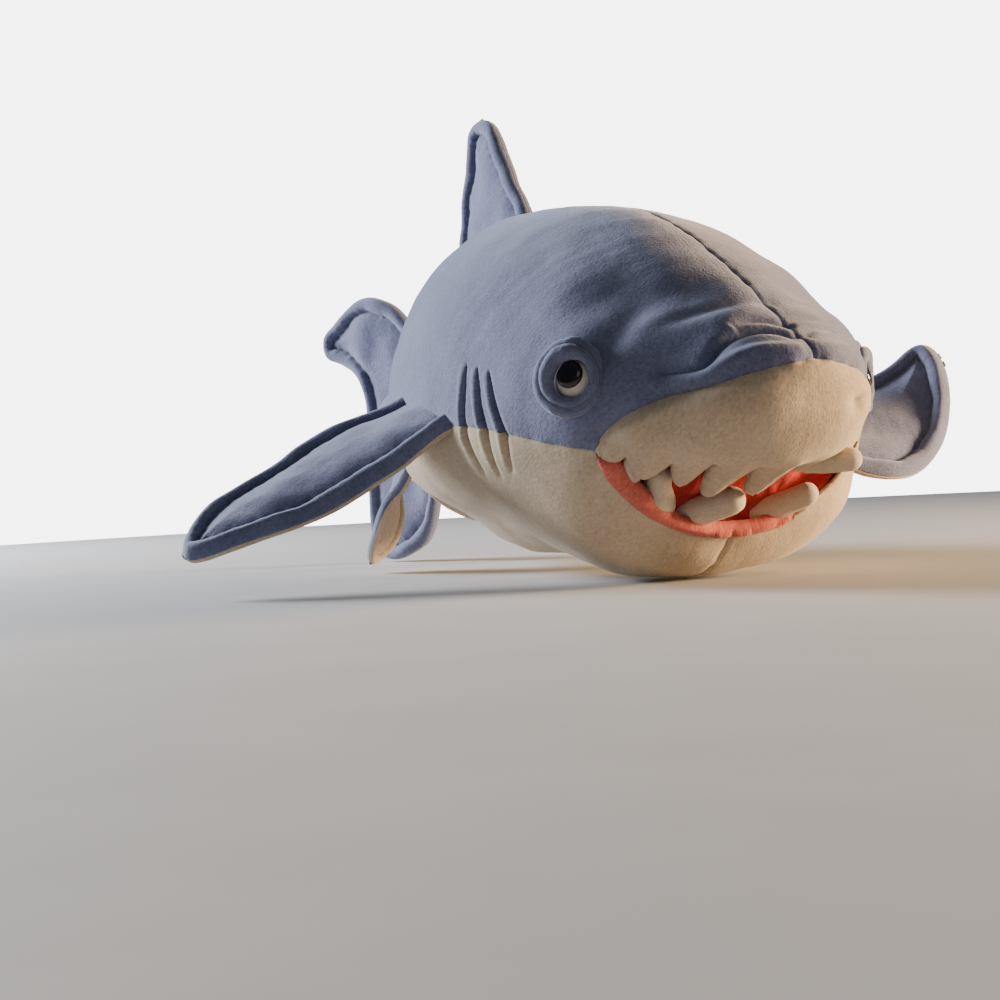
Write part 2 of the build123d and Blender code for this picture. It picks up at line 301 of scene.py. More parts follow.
def cut_along(points, faces, field, snap=0.2):
    """Splits triangles so that the field's zero line runs along edges. Columns 0 to 2 are the place."""
    value = field(points[:, :3])
    points = points.copy()
    ends = np.sort(np.concatenate([faces[:, [0, 1]], faces[:, [1, 2]], faces[:, [2, 0]]]), axis=1)
    pairs = np.unique(ends, axis=0)
    a, b = pairs[value[pairs[:, 0]] * value[pairs[:, 1]] < 0].T
    share = value[a] / (value[a] - value[b])
    # points that are close to the line move onto it
    for start, end, part in ((a, b, share), (b, a, 1 - share)):
        moves = (part < snap) & (value[start] != 0)
        start, end, part = start[moves], end[moves], part[moves]
        points[start] += (points[end] - points[start]) * part[:, None]
        value[start] = 0
    a, b = pairs[value[pairs[:, 0]] * value[pairs[:, 1]] < 0].T
    share = (value[a] / (value[a] - value[b]))[:, None]
    number = {pair: len(points) + index for index, pair in enumerate(zip(a.tolist(), b.tolist()))}
    points = np.concatenate([points, points[a] + (points[b] - points[a]) * share])
    signs = np.sign(value)
    mixed = (signs[faces].max(1) > 0) & (signs[faces].min(1) < 0)
    made = []
    for v in faces[mixed].tolist():
        middles = [number.get((min(i, j), max(i, j)), -1) for i, j in zip(v, v[1:] + v[:1])]
        crossed = [middle >= 0 for middle in middles]
        if sum(crossed) == 2:
            k = next(k for k in range(3) if crossed[k] and crossed[k - 1])
            lone, second, third = v[k:] + v[:k]
            p, q = middles[k], middles[k - 1]
            made += [(lone, p, q), (p, second, third), (p, third, q)]
        else:
            k = crossed.index(True)
            first, second, third = v[k:] + v[:k]
            made += [(first, middles[k], third), (middles[k], second, third)]
    return points, np.concatenate([faces[~mixed], np.array(made, int).reshape(-1, 3)])


def new_object(name, data):
    made = bpy.data.objects.new(name, data)
    bpy.context.scene.collection.objects.link(made)
    return made


def mesh_piece(name, points, faces, material, nap, thickness=SKIN, **values):
    """A Blender mesh from points in millimetres, with values for its material at each point."""
    faces = np.asarray(faces)
    used = np.unique(faces)
    renumber = np.zeros(len(points), int)
    renumber[used] = np.arange(len(used))
    mesh = bpy.data.meshes.new(name)
    mesh.from_pydata((points[used] * MM).tolist(), [], renumber[faces].tolist())
    mesh.attributes.new("nap", "FLOAT_VECTOR", "POINT").data.foreach_set("vector", nap[used].ravel())
    for key, value in values.items():
        mesh.attributes.new(key, "FLOAT", "POINT").data.foreach_set("value", value[used])
    mesh.polygons.foreach_set("use_smooth", [True] * len(mesh.polygons))
    mesh.update()
    mesh.materials.append(material)
    piece = new_object(name, mesh)
    if thickness:
        solid = piece.modifiers.new("thickness", "SOLIDIFY")
        solid.thickness = thickness * MM
        solid.offset = -1
    return piece


def describe(piece, nodes=()):
    """Hides the frame's parts that a piece stands in for, if any are given, and puts the piece on the body.
    """
    if nodes:
        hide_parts(*nodes)
    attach(piece, "body")


def turn_about(points, pivot, degrees, share):
    """Turns points about an upright axis, each by its own share of the angle."""
    angle = np.radians(degrees) * share
    x, y = points[..., 0] - pivot[0], points[..., 1] - pivot[1]
    turned = points.copy()
    turned[..., 0] = pivot[0] + x * np.cos(angle) - y * np.sin(angle)
    turned[..., 1] = pivot[1] + x * np.sin(angle) + y * np.cos(angle)
    return turned


def bend_tail(points):
    """Rest shape of the tail: the body bends gently at each tail joint."""
    back = points[..., 1]
    at_fin = smooth(FIN_PIVOT[1] - BEND_REACH, FIN_PIVOT[1] + BEND_REACH, back)
    at_tail = smooth(TAIL_PIVOT[1] - BEND_REACH, TAIL_PIVOT[1] + BEND_REACH, back)
    return turn_about(turn_about(points, FIN_PIVOT, FIN_BEND, at_fin), TAIL_PIVOT, TAIL_BEND, at_tail)


# ---- Materials ----------------------------------------------------------------------------

def new_material(name):
    material = bpy.data.materials.new(name)
    material.use_nodes = True
    return material, material.node_tree, material.node_tree.nodes["Principled BSDF"]


def set_sockets(shader, **values):
    for key, value in values.items():
        shader.inputs[key.replace("_", " ")].default_value = value


def attribute(tree, name):
    """A value that the mesh holds at each point."""
    node = tree.nodes.new("ShaderNodeAttribute")
    node.attribute_name = name
    return node


def noise(tree, vector, scale, detail, stretch=(1, 1, 1)):
    mapping = tree.nodes.new("ShaderNodeMapping")
    texture = tree.nodes.new("ShaderNodeTexNoise")
    set_sockets(mapping, Scale=stretch)
    set_sockets(texture, Scale=scale, Detail=detail)
    tree.links.new(vector, mapping.inputs["Vector"])
    tree.links.new(mapping.outputs["Vector"], texture.inputs["Vector"])
    return texture.outputs["Fac"]


def maths(tree, kind, first, second):
    node = tree.nodes.new("ShaderNodeMath")
    node.operation = kind
    for index, value in enumerate((first, second)):
        if isinstance(value, (int, float)):
            node.inputs[index].default_value = value
        else:
            tree.links.new(value, node.inputs[index])
    return node.outputs[0]


def weighted(tree, *parts):
    """Sum of values, each times its weight."""
    total = 0.0
    for value, weight in parts:
        total = maths(tree, "ADD", maths(tree, "MULTIPLY", value, weight), total)
    return total


def ramp(tree, value, stops):
    node = tree.nodes.new("ShaderNodeValToRGB")
    elements = node.color_ramp.elements
    while len(elements) < len(stops):
        elements.new(0.5)
    for element, (place, colour) in zip(elements, stops):
        element.position = place
        element.color = (*colour, 1)
    tree.links.new(value, node.inputs["Fac"])
    return node.outputs["Color"]


GROOVE_SHADE_COLOUR = (0.17, 0.17, 0.21)  # painted shade: what the cloth's colour is multiplied by deep in a tuck or a seam groove; along seams it also stands for crushed pile
PILE_HEIGHT = 0.0016


def plush(name, deep, pale, sheen_tint, sheen=0.35, fibre=1.0, seam_dark=0.5, bump=0.55):
    """Short pile fabric: fibres lie along the nap, patches are brushed lighter, and painted shade darkens
    tucks, gill slits and seam grooves, where the seams also crush the pile.
    """
    material, tree, shader = new_material(name)
    nap = attribute(tree, "nap").outputs["Vector"]
    seam = attribute(tree, "seam").outputs["Fac"]
    fibres = noise(tree, nap, 900 * fibre, 3, (1, 0.4, 1))
    tufts = noise(tree, nap, 420 * fibre, 3, (1, 0.5, 1))
    brushed = noise(tree, nap, 30, 4, (1, 0.7, 1))
    large = noise(tree, nap, 7, 2)
    shade = weighted(tree, (fibres, 0.3), (tufts, 0.3), (brushed, 0.25), (large, 0.15))
    # painted shade: the cloth's colour is multiplied towards a dark blue-grey in tucks, gill slits and seam
    # grooves
    painted_shade = tree.nodes.new("ShaderNodeMix")
    painted_shade.data_type = "RGBA"
    painted_shade.blend_type = "MULTIPLY"
    tree.links.new(maths(tree, "MULTIPLY", seam, seam_dark), painted_shade.inputs["Factor"])
    tree.links.new(ramp(tree, shade, [(0.36, deep), (0.62, pale)]), painted_shade.inputs["A"])
    painted_shade.inputs["B"].default_value = (*GROOVE_SHADE_COLOUR, 1)
    tree.links.new(painted_shade.outputs["Result"], shader.inputs["Base Color"])
    pile = tree.nodes.new("ShaderNodeBump")
    set_sockets(pile, Strength=bump, Distance=PILE_HEIGHT)
    tree.links.new(weighted(tree, (fibres, 0.45), (tufts, 0.65)), pile.inputs["Height"])
    tree.links.new(pile.outputs["Normal"], shader.inputs["Normal"])
    set_sockets(shader, Roughness=0.94, Specular_IOR_Level=0.12, Sheen_Weight=sheen, Sheen_Roughness=0.55,
                Sheen_Tint=(*sheen_tint, 1))
    return material


def plastic(name, colour, roughness):
    """Moulded plastic with faint scuffs."""
    material, tree, shader = new_material(name)
    scuffs = noise(tree, tree.nodes.new("ShaderNodeTexCoord").outputs["Object"], 900, 4)
    worn = tuple(c * 0.85 for c in colour)
    tree.links.new(ramp(tree, scuffs, [(0.3, worn), (0.7, colour)]), shader.inputs["Base Color"])
    rough = tree.nodes.new("ShaderNodeMapRange")
    set_sockets(rough, To_Min=roughness * 0.8, To_Max=roughness * 1.4)
    tree.links.new(scuffs, rough.inputs["Value"])
    tree.links.new(rough.outputs["Result"], shader.inputs["Roughness"])
    return material


def iris_material():
    """Domed eye: black pupil and rim with a dark brown ring between, by distance from its middle."""
    material, tree, shader = new_material("iris_plastic")
    ring = attribute(tree, "ring").outputs["Fac"]
    flecks = noise(tree, attribute(tree, "nap").outputs["Vector"], 500, 3)
    value = maths(tree, "ADD", ring, maths(tree, "MULTIPLY", flecks, 0.06))
    black, edge = (0.003, 0.0025, 0.0025), (0.005, 0.004, 0.003)
    brown, dim_brown = (0.020, 0.010, 0.006), (0.014, 0.008, 0.005)
    colour = ramp(tree, value, [(0.0, black), (0.66, black), (0.74, brown), (0.88, dim_brown), (0.95, edge)])
    tree.links.new(colour, shader.inputs["Base Color"])
    set_sockets(shader, Roughness=0.12, Coat_Weight=0.3, Coat_Roughness=0.02, Specular_IOR_Level=0.4)
    return material


# name, deep colour, pale colour, tint of the sheen
BLUE = plush("blue_plush", (0.072, 0.083, 0.150), (0.166, 0.182, 0.288), (0.80, 0.82, 0.95), sheen=0.5,
             seam_dark=0.9, bump=0.45)
CREAM = plush("cream_plush", (0.38, 0.29, 0.20), (0.58, 0.465, 0.335), (1.0, 0.93, 0.84), sheen=0.2,
              bump=0.3)
LIP = plush("lip_fabric", (0.42, 0.08, 0.06), (0.66, 0.175, 0.135), (1.0, 0.6, 0.55), fibre=1.2, sheen=0.2)
LINING = plush("mouth_fabric", (0.30, 0.022, 0.022), (0.52, 0.055, 0.05), (0.9, 0.4, 0.4), fibre=1.3,
               sheen=0.1)
TOOTH = plush("tooth_fabric", (0.44, 0.36, 0.265), (0.65, 0.55, 0.42), (1.0, 0.97, 0.9), fibre=1.3,
              sheen=0.15, bump=0.35)
EYE_WHITE = plush("eye_white_fabric", (0.50, 0.46, 0.42), (0.62, 0.58, 0.53), (1, 1, 1), fibre=2.0,
                  sheen=0.05, bump=0.12)
IRIS = iris_material()
WASHER = plastic("washer_plastic", (0.78, 0.78, 0.75), 0.4)


# ---- Body mesh ----------------------------------------------------------------------------

COLUMNS = 420  # points round the body
NOSE_ROWS = 77
# rings of the mesh behind the nose, close together at the gill tucks: from, to, how many steps
ROW_STRETCHES = [(-198, -150, 21), (-150, -50, 71), (-50, 150, 43), (150, TAIL_END_Y, 71)]
NOSE_ROWS_END = -200
NAP_TILT = math.radians(28)  # the pile is brushed back and a little down
NAP_TURN = np.array([[1, 0, 0], [0, math.cos(NAP_TILT), -math.sin(NAP_TILT)],
                     [0, math.sin(NAP_TILT), math.cos(NAP_TILT)]])


def body_rows():
    """Distances back of the mesh's rings."""
    nose = NOSE_Y + np.linspace(0, math.sqrt(NOSE_ROWS_END - NOSE_Y), NOSE_ROWS + 1)[1:] ** 2
    stretches = [np.linspace(start, end, steps + 1)[:-1] for start, end, steps in ROW_STRETCHES]
    return np.concatenate([nose, *stretches, [TAIL_END_Y]])


def nap_of(place):
    """Place in the pile's own frame, in metres: the fabric's pattern follows it."""
    return place @ NAP_TURN.T * MM


def body_grid():
    """Points with their outward directions and nap, and triangles."""
    rows = body_rows()
    turn = np.linspace(0, 2 * math.pi, COLUMNS, endpoint=False)
    place = body_point(rows[:, None], turn[None])
    along = np.gradient(place, rows, axis=0)
    round_body = np.roll(place, -1, axis=1) - np.roll(place, 1, axis=1)
    out = np.cross(along, round_body)
    out = out / np.maximum(np.linalg.norm(out, axis=2, keepdims=True), 1e-9)
    rings = np.concatenate([place, out, nap_of(place)], -1).reshape(-1, 9)
    count = len(rings)
    nose, end = np.array([0, NOSE_Y, BODY_SECTIONS[0, 2]]), place[-1].mean(0) + (0, 2, 0)
    closing = [np.concatenate([point, (0, way, 0), nap_of(point)]) for point, way in ((nose, -1), (end, 1))]
    first = np.arange(COLUMNS)
    after = (first + 1) % COLUMNS
    nose_fan = np.stack([np.full(COLUMNS, count), after, first], -1)
    end_fan = np.stack([np.full(COLUMNS, count + 1), count - COLUMNS + first, count - COLUMNS + after], -1)
    faces = np.concatenate([grid_faces(len(rows), COLUMNS, closed=True), nose_fan, end_fan])
    return np.concatenate([rings, closing]), faces


# wrinkles above the nose on the shark's right, in the front view: points as (x, z), depths along the line,
# half width. A ridge is a negative depth. The left side has the same ones, fainter.
WRINKLES = [
    ([(-92, 151), (-78, 152), (-66, 155), (-59, 162), (-50, 169), (-34, 175), (-16, 175), (-1, 167)],
     [1.5, 4.5, 6.0, 7.0, 5.5, 3.5, 3.0], 5),
    ([(-97, 144), (-84, 146), (-70, 148), (-53, 154), (-38, 159), (-20, 160), (-4, 159)],
     [-1.5, -4.5, -5.5, -5, -3.5, -1.5], 6),
    ([(-40, 179), (-28, 183), (-11, 183), (6, 178)], [1.0, 3.4, 3.0, 2.0], 4.5),
    ([(-84, 182), (-72, 189), (-50, 194), (-23, 199), (3, 199)], [0.5, 3.0, 3.0, 1.6], 8),
    ([(-115, 152), (-110, 166), (-101, 180), (-86, 196), (-66, 210)], [2.5, 4.0, 3.5, 1.0], 13)]
LEFT_SHARE = 0.45


def head_creases():
    creases = []
    for points, depths, width in WRINKLES:
        line = face_points(points)
        creases.append((line, depths, width))
        creases.append((line * (-1, 1, 1), [depth * LEFT_SHARE for depth in depths], width))
    return creases


# the gill tucks in the side view, from top to bottom, as (distance back, height)
GILLS = [[(-77, 176), (-76, 159), (-73, 143), (-70, 127), (-76, 106), (-88, 84)],
         [(-92, 172), (-95, 157), (-97, 141), (-100, 124), (-103, 103), (-106, 82)],
         [(-108, 168), (-113, 153), (-119, 137), (-126, 120), (-125, 102), (-122, 86)]]
GILL_DEPTHS = [1.5, 8.0, 10.0, 10.5, 3.0, 0.5]
GILL_WIDTHS = [1.2, 1.6, 2.2, 3.0, 3.2, 3.2]
GILL_LIP_AWAY = 5.5  # from a gill's slit to the ridge on its tail side
GILL_LIP_SHARE, GILL_LIP_WIDTH = 0.27, 3.2


def cut_gills(place, rise, seam):
    """Three tucks on each side: a deep slit with a raised edge behind it, fading on the cream cloth. The
    slit's blue part gets painted shade.
    """
    for side in (1, -1):
        for tuck in GILLS:
            line = resample(flank_points(tuck, side))
            distance, along = nearest(place, line, reach=40)
            stops = np.linspace(0, 1, len(tuck))
            depth, width = np.interp(along, stops, GILL_DEPTHS), np.interp(along, stops, GILL_WIDTHS)
            end = smooth(0, 0.04, along) * smooth(1, 0.9, along)
            rise -= depth * np.exp(-(distance / width) ** 2) * end
            # painted shade inside the slit, on the blue cloth only
            painted_shade = smooth(0.66, 0.58, along) * end
            seam[:] = np.maximum(seam, painted_shade * np.exp(-(distance / (1.25 * width)) ** 4))
            distance, along = nearest(place, resample(line[::8] + (0, GILL_LIP_AWAY, 0)), reach=40)
            height = np.interp(along, stops, GILL_DEPTHS) * smooth(0, 0.05, along) * smooth(1, 0.9, along)
            rise += GILL_LIP_SHARE * height * np.exp(-(distance / GILL_LIP_WIDTH) ** 2)


def fin_root_creases():
    """The body is drawn in a little where each fin is sewn on."""
    roots = []
    for side in (1, -1):
        roots.append([(side * 155, -38, 125), (side * 156, 18, 138), (side * 154, 74, 148)])
        roots.append([(side * 113, 186, 90), (side * 100, 225, 94), (side * 90, 260, 96)])
    roots.append([(0, 124, 312), (0, 200, 280), (0, 290, 246)])
    return [(root, [4.0, 5.0, 4.0], 9.0) for root in roots]


SEAM_END_Y = 350
NOSE_TUCK, COVER_TUCK = (2.0, 3.2), (1.2, 2.4)  # depth and half width of the groove along a seam


def seam_lines():
    """Seams between the covers: a line of points on the body, its depth and its half width."""
    x, back = np.linspace(-110, 110, 111), np.linspace(-206, SEAM_END_Y, 180)
    nose = face_points(np.stack([x, nose_seam(x)], -1))
    sides = [flank_points(np.stack([back, side_line(back)], -1), side) for side in (1, -1)]
    top = body_point(np.linspace(-322, SEAM_END_Y, 300), math.pi / 2)
    under = body_point(np.linspace(-205, SEAM_END_Y, 240), -math.pi / 2)
    ring = body_point(np.full(200, float(TAIL_SEAM_Y)), np.linspace(0, 2 * math.pi, 200))
    return [(nose, *NOSE_TUCK), *((line, *COVER_TUCK) for line in (*sides, top, under, ring))]


# swellings and hollows: middle, size each way, height on the shark's left, height on its right
SWELLS = [((86, -272, 146), (34, 44, 50), -19, -12), ((84, -206, 212), (34, 34, 24), -8, -8),
          ((52, -240, 208), (26, 26, 18), -4, -4), ((55, -120, 268), (60, 95, 60), -6, -2),
          ((15, 0, 312), (70, 85, 50), -3.5, -3.5), ((101, -180, 52), (42, 46, 32), 14, 4),
          ((72, -158, 26), (40, 40, 22), 7, 0)]
UNEVENNESS = ((130, 3, 1.6), (45, 4, 0.5))  # size of the bumps, seed, height
BELLY_LIFT = 20
SEAM_SAG = 11  # the cloth sinks towards a seam over about this distance
NARROW_CREASE = 7  # creases narrower than this fade out at their ends


def displace_body(place):
    """The sewn and stuffed surface: how far each point stands out, and how much painted shade darkens it in
    seam grooves and gill slits; along seams this also stands for crushed pile.
    """
    rise = sum(waves(place, size, seed) * height for size, seed, height in UNEVENNESS)
    seam = np.zeros(len(place))
    for line, depth, width in seam_lines():
        distance, along = nearest(place, line)
        run = along * len(line)
        pucker = 1 + 0.35 * np.sin(run * 0.9) + 0.3 * np.sin(run * 0.37)
        rise -= depth * np.exp(-(distance / width) ** 2) * pucker
        rise -= 0.5 * depth * np.exp(-(distance / SEAM_SAG) ** 2)
        # painted shade along each seam's groove, also standing for crushed pile
        seam = np.maximum(seam, 0.5 * np.exp(-(distance / 1.2) ** 2))
    for line, depths, width in head_creases() + fin_root_creases():
        line = resample(line)
        distance, along = nearest(place, line, reach=60)
        depth = np.interp(along, np.linspace(0, 1, len(depths)), depths)
        ends = smooth(0, 0.06, along) * smooth(1, 0.94, along) if width < NARROW_CREASE else 1
        rise -= depth * np.exp(-(distance / width) ** 2) * ends
    cut_gills(place, rise, seam)
    for middle, size, *heights in SWELLS:
        for side, height in zip((1, -1), heights):
            gap = np.linalg.norm((place - (side * middle[0], middle[1], middle[2])) / size, axis=1)
            rise += height * np.exp(-gap ** 2)
    # the belly hangs from the chest and clears the floor behind it
    back, z = place[:, 1], place[:, 2]
    rise -= BELLY_LIFT * smooth(-165, -15, back) * smooth(240, 130, back) * smooth(100, 35, z)
    return rise, seam


def distance_to(place, edge_of):
    """Distance on the surface from a line across the front of the head."""
    x = MOUTH_HALF_WIDTH * np.sin(np.linspace(-math.pi / 2, math.pi / 2, 700))
    return nearest(place, face_points(np.stack([x, edge_of(x)], -1)))[0]


MUZZLE_SWELL, MUZZLE_STEP = 5.5, 2.0  # how far the muzzle stands out: inside its edge, and right at its edge
MUZZLE_ROLL = 7.0  # radius with which its edge turns in
NOSE_HEM = 9  # the muzzle is level with the blue cloth at the nose seam and swells over this distance
# dimples on the snout: middle, size each way, depth
DIMPLES = [((34, -310, 126), (7, 8, 6), 5), ((40, -304, 128), (16, 16, 3), 1.5)]


def shape_muzzle(place, rise):
    """The stuffed muzzle swells over the mouth and its scalloped edge turns in."""
    x, z = place[:, 0], place[:, 2]
    edge = distance_to(place, muzzle_edge)
    corner = smooth(112, 92, np.abs(x))
    swell = MUZZLE_SWELL * smooth(0, 26, edge) * corner * (1 - 0.8 * smooth(35, 85, x))
    share = np.clip(edge / MUZZLE_ROLL, 0, 1)
    turn_in = MUZZLE_ROLL * smooth(111, 101, np.abs(x)) * (1 - np.sqrt(np.clip(1 - (1 - share) ** 2, 0, 1)))
    puff = (swell + MUZZLE_STEP * corner) * smooth(152, 120, z) - turn_in
    for middle, size, depth in DIMPLES:
        puff -= depth * np.exp(-np.linalg.norm((place - middle) / size, axis=1) ** 2)
    return rise + puff * smooth(0, NOSE_HEM, distance_to(place, nose_seam))


def shape_lip(place, rise):
    """The lower lip is a soft roll."""
    x, z = place[:, 0], place[:, 2]
    inner, outer = lip_inner(x), lip_outer(x)
    across = np.clip((z - outer) / np.maximum(inner - outer, 0.5), 0, 1)
    width = np.clip((inner - outer) / LIP_ROOM, 0, 1)
    roll = LIP_ROLL * np.sqrt(np.clip(1 - (2 * across - 0.9) ** 2, 0, 1))
    return rise + (roll - LIP_TUCK * smooth(0.72, 1.0, across)) * width


# where the cloth bends at the joints of the tail and of its fin
TAIL_BLEND, FIN_BLEND = ([(0, pivot[1] - reach, 150), (0, pivot[1] + reach, 150)]
                         for pivot, reach in ((TAIL_PIVOT, BEND_REACH), (FIN_PIVOT, 32)))


def blend_tail_end(piece):
    """Bakes the piece's place into its points; the end of the rear body and the tail fin are already bent at
    the tail fin's joint.
    """
    start, end = (bend_tail(np.array([point], float))[0] for point in FIN_BLEND)
    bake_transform(piece)


def make_body():
    """The covers of the head and body: one skin, cut along its seams."""
    points, faces = body_grid()
    fields = (middle_field, side_field, muzzle_field, lip_field, mouth_field, tail_seam_field)
    for field in fields:
        points, faces = cut_along(points, faces, field)
    centres = points[faces][:, :, :3].mean(1)
    left, above, muzzle, lip, mouth, tail = (field(centres) > 0 for field in fields)
    place, out, nap = points[:, :3], points[:, 3:6], points[:, 6:9]
    out = out / np.maximum(np.linalg.norm(out, axis=1, keepdims=True), 1e-9)
    rise, seam = displace_body(place)
    rest = ~(muzzle | lip | mouth)
    sewn = bend_tail(place + out * rise[:, None])
    for end, panel, hand in itertools.product(("", "tail_"), ("back", "belly"), ("left", "right")):
        name = f"{end}{panel}_cover_{hand}"
        chosen = rest & (left if hand == "left" else ~left)
        chosen &= above if panel == "back" else ~above
        chosen &= tail if end else ~tail
        piece = mesh_piece(name, sewn, faces[chosen], BLUE if panel == "back" else CREAM, nap, seam=seam)
        stuffing = [f"{end or 'body_'}stuffing"] if (panel, hand) == ("belly", "left") else []
        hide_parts(name, *stuffing)
        if end:
            blend_tail_end(piece)
        else:
            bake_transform(piece)

    puffed = place + out * shape_muzzle(place, rise)[:, None]
    piece = mesh_piece("muzzle_cover", puffed, faces[muzzle], CREAM, nap, seam=seam)
    describe(piece, ["muzzle_cover", "upper_teeth"])
    rolled = place + out * shape_lip(place, rise)[:, None]
    piece = mesh_piece("lower_lip_band", rolled, faces[lip], LIP, nap, seam=seam * 0.3)
    describe(piece, ["lower_lip_band"])


LINING_COLUMNS, LINING_ROWS = 160, 60
LINING_DEPTH = 19


def make_lining():
    """The mouth pocket: from the lower lip in and up behind the muzzle."""
    x, t = np.meshgrid(np.linspace(-109, 109, LINING_COLUMNS), np.linspace(0, 1, LINING_ROWS), indexing="ij")
    low = lip_inner(x) - 1.5
    high = lip_arc(x, UPPER_LIP_Z) + 10 * smooth(110, 80, np.abs(x))
    z = low + (high - low) * t
    y = front_of(x, z)
    depth = LINING_DEPTH * smooth(112, 70, np.abs(x)) + 2
    inward = depth * (1 - (1 - np.clip(t * 2.2, 0, 1)) ** 2) ** 0.5
    # its lower edge follows the stuffed lip
    rise, _ = displace_body(np.stack([x[:, 0], y[:, 0], z[:, 0]], -1))
    y = y - 0.9 * rise[:, None] * (1 - t) ** 2
    place = np.stack([x * 0.985, y + inward * 0.9 + 1.5, z + inward * 0.3], -1)
    place[..., 2] += waves(place, 30, 11) * 1.2
    place[..., 1] += waves(place, 24, 12) * 1.4
    nap = np.stack([x, z, 0 * x], -1).reshape(-1, 3) * MM
    faces = grid_faces(LINING_COLUMNS, LINING_ROWS)[:, ::-1]
    piece = mesh_piece("mouth_lining", place.reshape(-1, 3), faces, LINING, nap)
    describe(piece, ["mouth_lining"])


make_body()
make_lining()


# ---- Teeth --------------------------------------------------------------------------------

TUBE_SIDES = 32
UNEVEN = 0.035  # share of a tooth's radius


def tube(path, radii, seed):
    """A tube of triangles round a path, with closed ends where the radius goes to nothing."""
    tangent = np.gradient(path, axis=0)
    tangent /= np.linalg.norm(tangent, axis=1, keepdims=True)
    normal = [unit(np.cross(tangent[0], (0.12, 0.3, 0.95)))]
    for way in tangent[1:]:
        normal.append(unit(normal[-1] - way * (normal[-1] @ way)))
    normal = np.array(normal)
    other = np.cross(tangent, normal)
    turn = np.linspace(0, 2 * math.pi, TUBE_SIDES, endpoint=False)
    ring = np.cos(turn)[None, :, None] * normal[:, None] + np.sin(turn)[None, :, None] * other[:, None]
    centre = path[:, None] + 0 * ring
    reach = radii[:, None] * (1 + UNEVEN * waves(centre + ring * radii[:, None, None], 14, seed))
    place = centre + ring * reach[..., None]
    round_it, along_it = radii.max() * turn[None] + 0 * reach, run_along(path)[:, None] + 0 * reach
    nap = np.stack([round_it, along_it, centre[..., 0] * 0.3], -1)
    return place.reshape(-1, 3), grid_faces(len(path), TUBE_SIDES, closed=True), nap.reshape(-1, 3) * MM


DIMPLE_DEPTH, DIMPLE_RADIUS = 1.6, 1.2
POINT = 0.05  # radius at a closed end


def finger(root, way, length, root_radius, tip_radius):
    """A stuffed finger of fabric: it swells, and its round end is gathered to a small dimple."""
    t = np.linspace(0, 1, 26)
    radii = root_radius + (tip_radius - root_radius) * smooth(0, 0.8, t)
    radii = radii * (1 + 0.05 * np.sin(3 * t))
    cap = np.linspace(0, math.pi / 2, 14)[1:]
    back = np.linspace(-math.pi / 2, 0, 12)[:-1]
    along = np.concatenate([0.9 * root_radius * np.sin(back), length * t, length + tip_radius * np.sin(cap),
                            [length + tip_radius - DIMPLE_DEPTH]])
    radii = np.concatenate([np.maximum(radii[0] * np.cos(back), POINT), radii, tip_radius * np.cos(cap),
                            [POINT]])
    radii[-2] = DIMPLE_RADIUS
    return root + way * along[:, None], radii


# place on the lip, how far back from its face, length, root radius, tip radius, how far sunk, way
LOWER_FINGERS = [
    (-86, 8, 12, 8, 6.0, 4, (-0.1, -0.6, 0.8)),
    (-60, 15, 24, 15, 9.3, 0, (-0.15, -0.6, 0.78)),
    (-35, 19, 41, 12, 10.4, 12, (0.62, -0.75, 0.27)),
    (31, 18, 40, 12, 8.8, 14, (0.62, -0.73, 0.34)),
    (50, 24, 4, 8, 7, 2, (0.2, -0.6, 0.7)),
]
UPPER_FINGER = (36, 30, 9.5, 8.6, (0.68, -0.73, -0.03))  # place, length, root radius, tip radius, way
TOOTH_SEED = 20


def make_teeth():
    lower = []
    for index, (x, inward, length, root_radius, tip_radius, sunk, way) in enumerate(LOWER_FINGERS):
        way = unit(way)
        root = face_points([(x, lip_inner(x) + 3)])[0] + (0, inward, 1.5) - sunk * way
        path, radii = finger(root, way, length + sunk, root_radius, tip_radius)
        place, faces, nap = tube(path, radii, TOOTH_SEED + index)
        lower.append((place, faces + index * len(place), nap + index * 0.05))
    place, faces, nap = (np.concatenate(parts) for parts in zip(*lower))
    piece = mesh_piece("lower_teeth", place, faces, TOOTH, nap, thickness=0)
    describe(piece, ["lower_teeth"])
    x, length, root_radius, tip_radius, way = UPPER_FINGER
    root = face_points([(x, lip_arc(x, UPPER_LIP_Z) - 1)])[0] + (0, 6, 0)
    place, faces, nap = tube(*finger(root, unit(way), length, root_radius, tip_radius), TOOTH_SEED + 10)
    piece = mesh_piece("upper_long_tooth", place, faces, TOOTH, nap, thickness=0)
    describe(piece)


make_teeth()


# ---- Eyes ---------------------------------------------------------------------------------

EYE_Y, EYE_Z = -205, {1: 147, -1: 152}  # the shark's left eye is sewn on a little lower
EYE_SUNK = {1: 6, -1: 0}  # and pulled deeper into the head
EYE_AIM = (0.76, -0.63, 0.13)
RING_RADIUS, RING_TUBE = 21.8, 5.2
LID_RADIUS, LID_TUBE = 17.2, 3.3
BALL_RADIUS, BALL_SUNK = 17.0, 6.0
IRIS_RADIUS, IRIS_RIM, IRIS_DOME = 10.0, 1.4, 3.6  # radius, height of its rim, rise of its dome
LOOK_UP, LOOK_IN = 0.16, 0.04  # the iris sits a little high and forward on the ball
LOOP_SIDES, LOOP_STEPS, DOME_SIDES = 26, 150, 64


def eye_place(side):
    """Middle of an eye and its three directions: right, up and out."""
    out = unit((side * EYE_AIM[0], *EYE_AIM[1:]))
    right = unit(np.cross((0, 0, 1), out))
    centre = np.array([side * side_of(EYE_Y, EYE_Z[side]), EYE_Y, EYE_Z[side]], float)
    return centre - out * EYE_SUNK[side], right, np.cross(out, right), out


def spokes(count, right, up):
    """Directions to count points round a circle, and their angles."""
    turn = np.linspace(0, 2 * math.pi, count, endpoint=False)
    return np.cos(turn)[:, None] * right + np.sin(turn)[:, None] * up, turn


